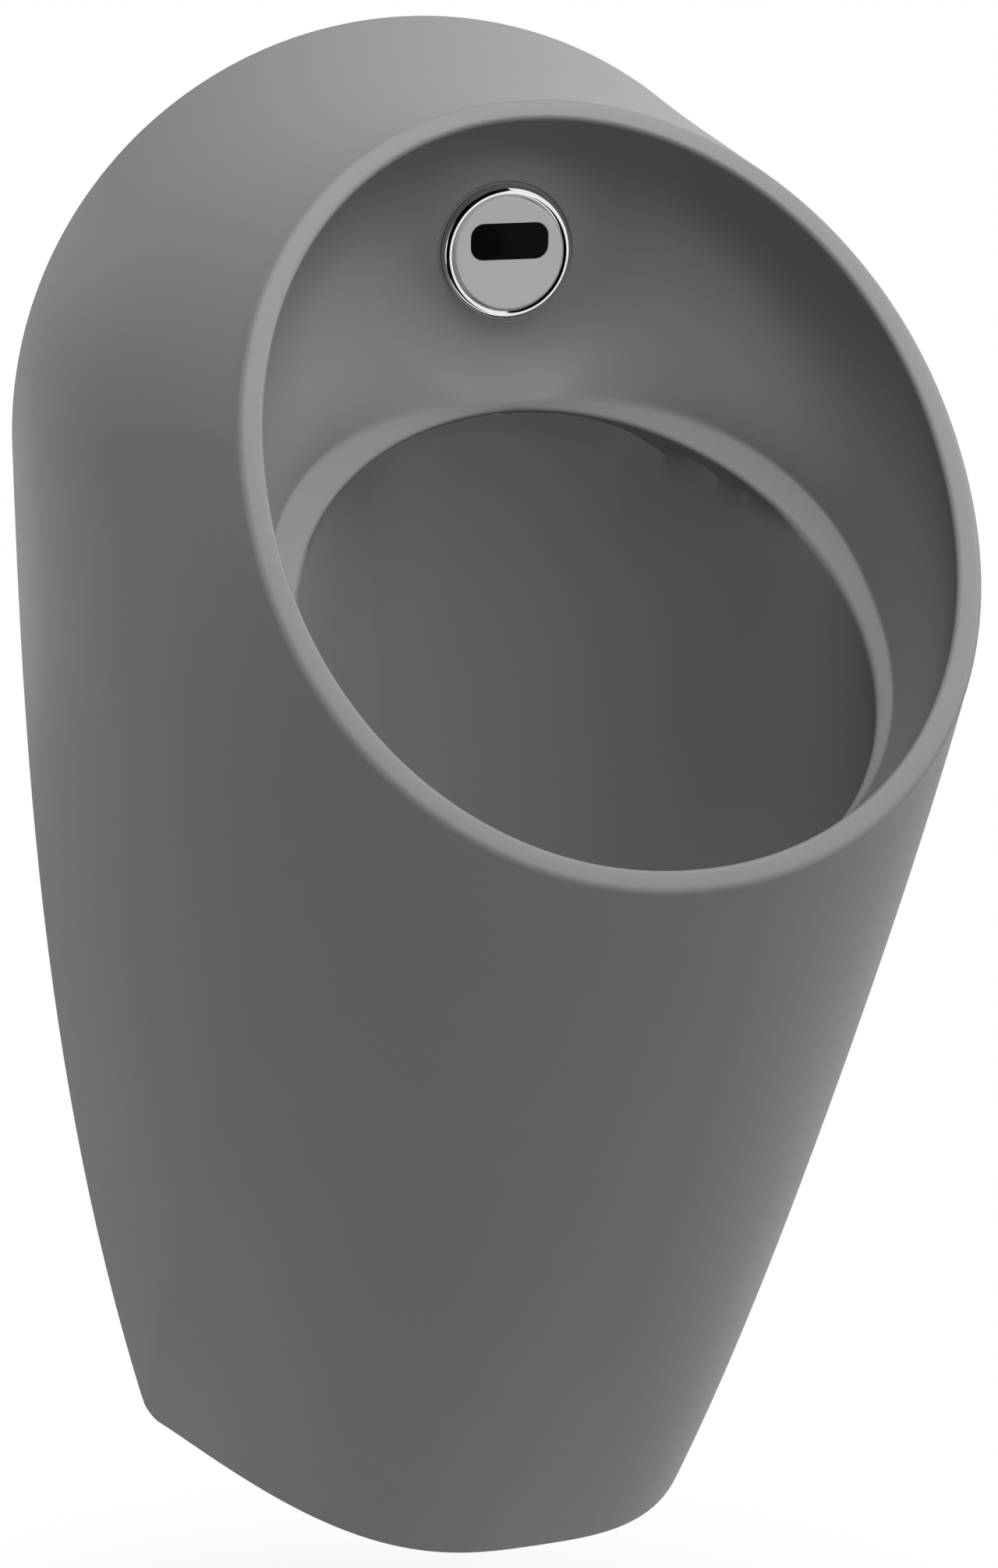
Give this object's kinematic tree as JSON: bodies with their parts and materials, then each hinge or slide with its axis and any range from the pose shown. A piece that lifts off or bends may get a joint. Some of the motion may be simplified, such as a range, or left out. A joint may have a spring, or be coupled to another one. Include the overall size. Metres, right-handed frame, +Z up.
{
  "type": "wall-hung urinal",
  "caption": "Wall-hung ceramic urinal with a tall tapering body, an oval rim that leans back, a ledged funnel bowl and a round sensor control in its back wall.",
  "frame": {"origin": "midway between the two hanger bolts, in the plane of the wall", "axes": "+X to the right as seen by the user, +Y into the wall, +Z up; the front of the body is at -Y"},
  "size_m": [0.3696, 0.4299, 0.65],
  "materials": {
    "ceramic": "matte grey glaze",
    "chrome": "polished",
    "satin_metal": "satin grey",
    "dark_window": "gloss black",
    "rubber": "matte black",
    "black_plastic": "moulded",
    "board": "green board",
    "lamp_plastic": "clear dark",
    "cable": "cable jacket",
    "grey_plastic": "moulded",
    "steel": "stainless",
    "battery": "wrapped cell",
    "brass": "turned",
    "white_plastic": "moulded"
  },
  "bodies": {
    "urinal": {"ceramic_body": "ceramic", "bezel_ring": "chrome", "sensor_cover": "satin_metal", "sensor_window": "dark_window", "sensor_seal": "rubber", "sensor_housing": "black_plastic", "clamp_nut": "black_plastic", "circuit_board": "board", "sensor_lamps": "lamp_plastic", "sensor_cable": "cable", "coil_cable": "cable", "power_box": "grey_plastic", "power_box_lid": "grey_plastic", "lid_screws": "steel", "batteries": "battery", "carrier_plate": "grey_plastic", "carrier_screws": "steel", "inlet_pipe": "brass", "inlet_nut": "brass", "inlet_filter": "white_plastic", "stop_valve_body": "brass", "ball_seats": "white_plastic", "stop_valve_plug": "brass", "packing_nut": "brass", "flush_valve_body": "black_plastic", "valve_bonnet": "black_plastic", "plunger_spring": "steel", "solenoid_coil": "black_plastic", "coil_nut": "steel", "flush_pipe": "steel", "pipe_nut": "brass", "spray_nozzle": "chrome", "nozzle_nut": "brass", "trap_insert": "grey_plastic", "outlet_sleeve": "rubber", "trap_body": "white_plastic", "waste_pipe": "grey_plastic", "waste_ring": "rubber", "wall_hooks": "steel", "hanger_bolts": "steel", "hanger_washers": "steel", "hanger_nuts": "steel", "foot_clips": "steel", "foot_screws": "steel", "foot_nuts": "steel", "wall_screws": "steel"},
    "stop_spindle": {"stop_valve_ball": "chrome"},
    "plunger": {"plunger": "steel"},
    "piston": {"flush_piston": "rubber"},
    "strainer": {"drain_strainer": "steel"}
  },
  "joints": [
    {"name": "stop_valve_turn", "type": "hinge", "parent": "urinal", "child": "stop_spindle", "pos_m": [0, -0.035, 0.13], "axis": [0, 0, 1], "range_deg": [0, 90]},
    {"name": "plunger_lift", "type": "slide", "parent": "urinal", "child": "plunger", "axis": [0, 0, 1], "range_m": [0, 0.002], "stiffness_N_per_m": 100, "springref_m": -0.004, "deforming": ["plunger_spring"]},
    {"name": "piston_lift", "type": "slide", "parent": "urinal", "child": "piston", "axis": [0, 0, 1], "range_m": [0, 0.003]},
    {"name": "strainer_lift", "type": "slide", "parent": "urinal", "child": "strainer", "axis": [0, 0, 1], "range_m": [0, 0.03]}
  ],
  "couplings": [
    {"joint": "piston_lift", "follows": "plunger_lift", "ratio": 1.5}
  ]
}
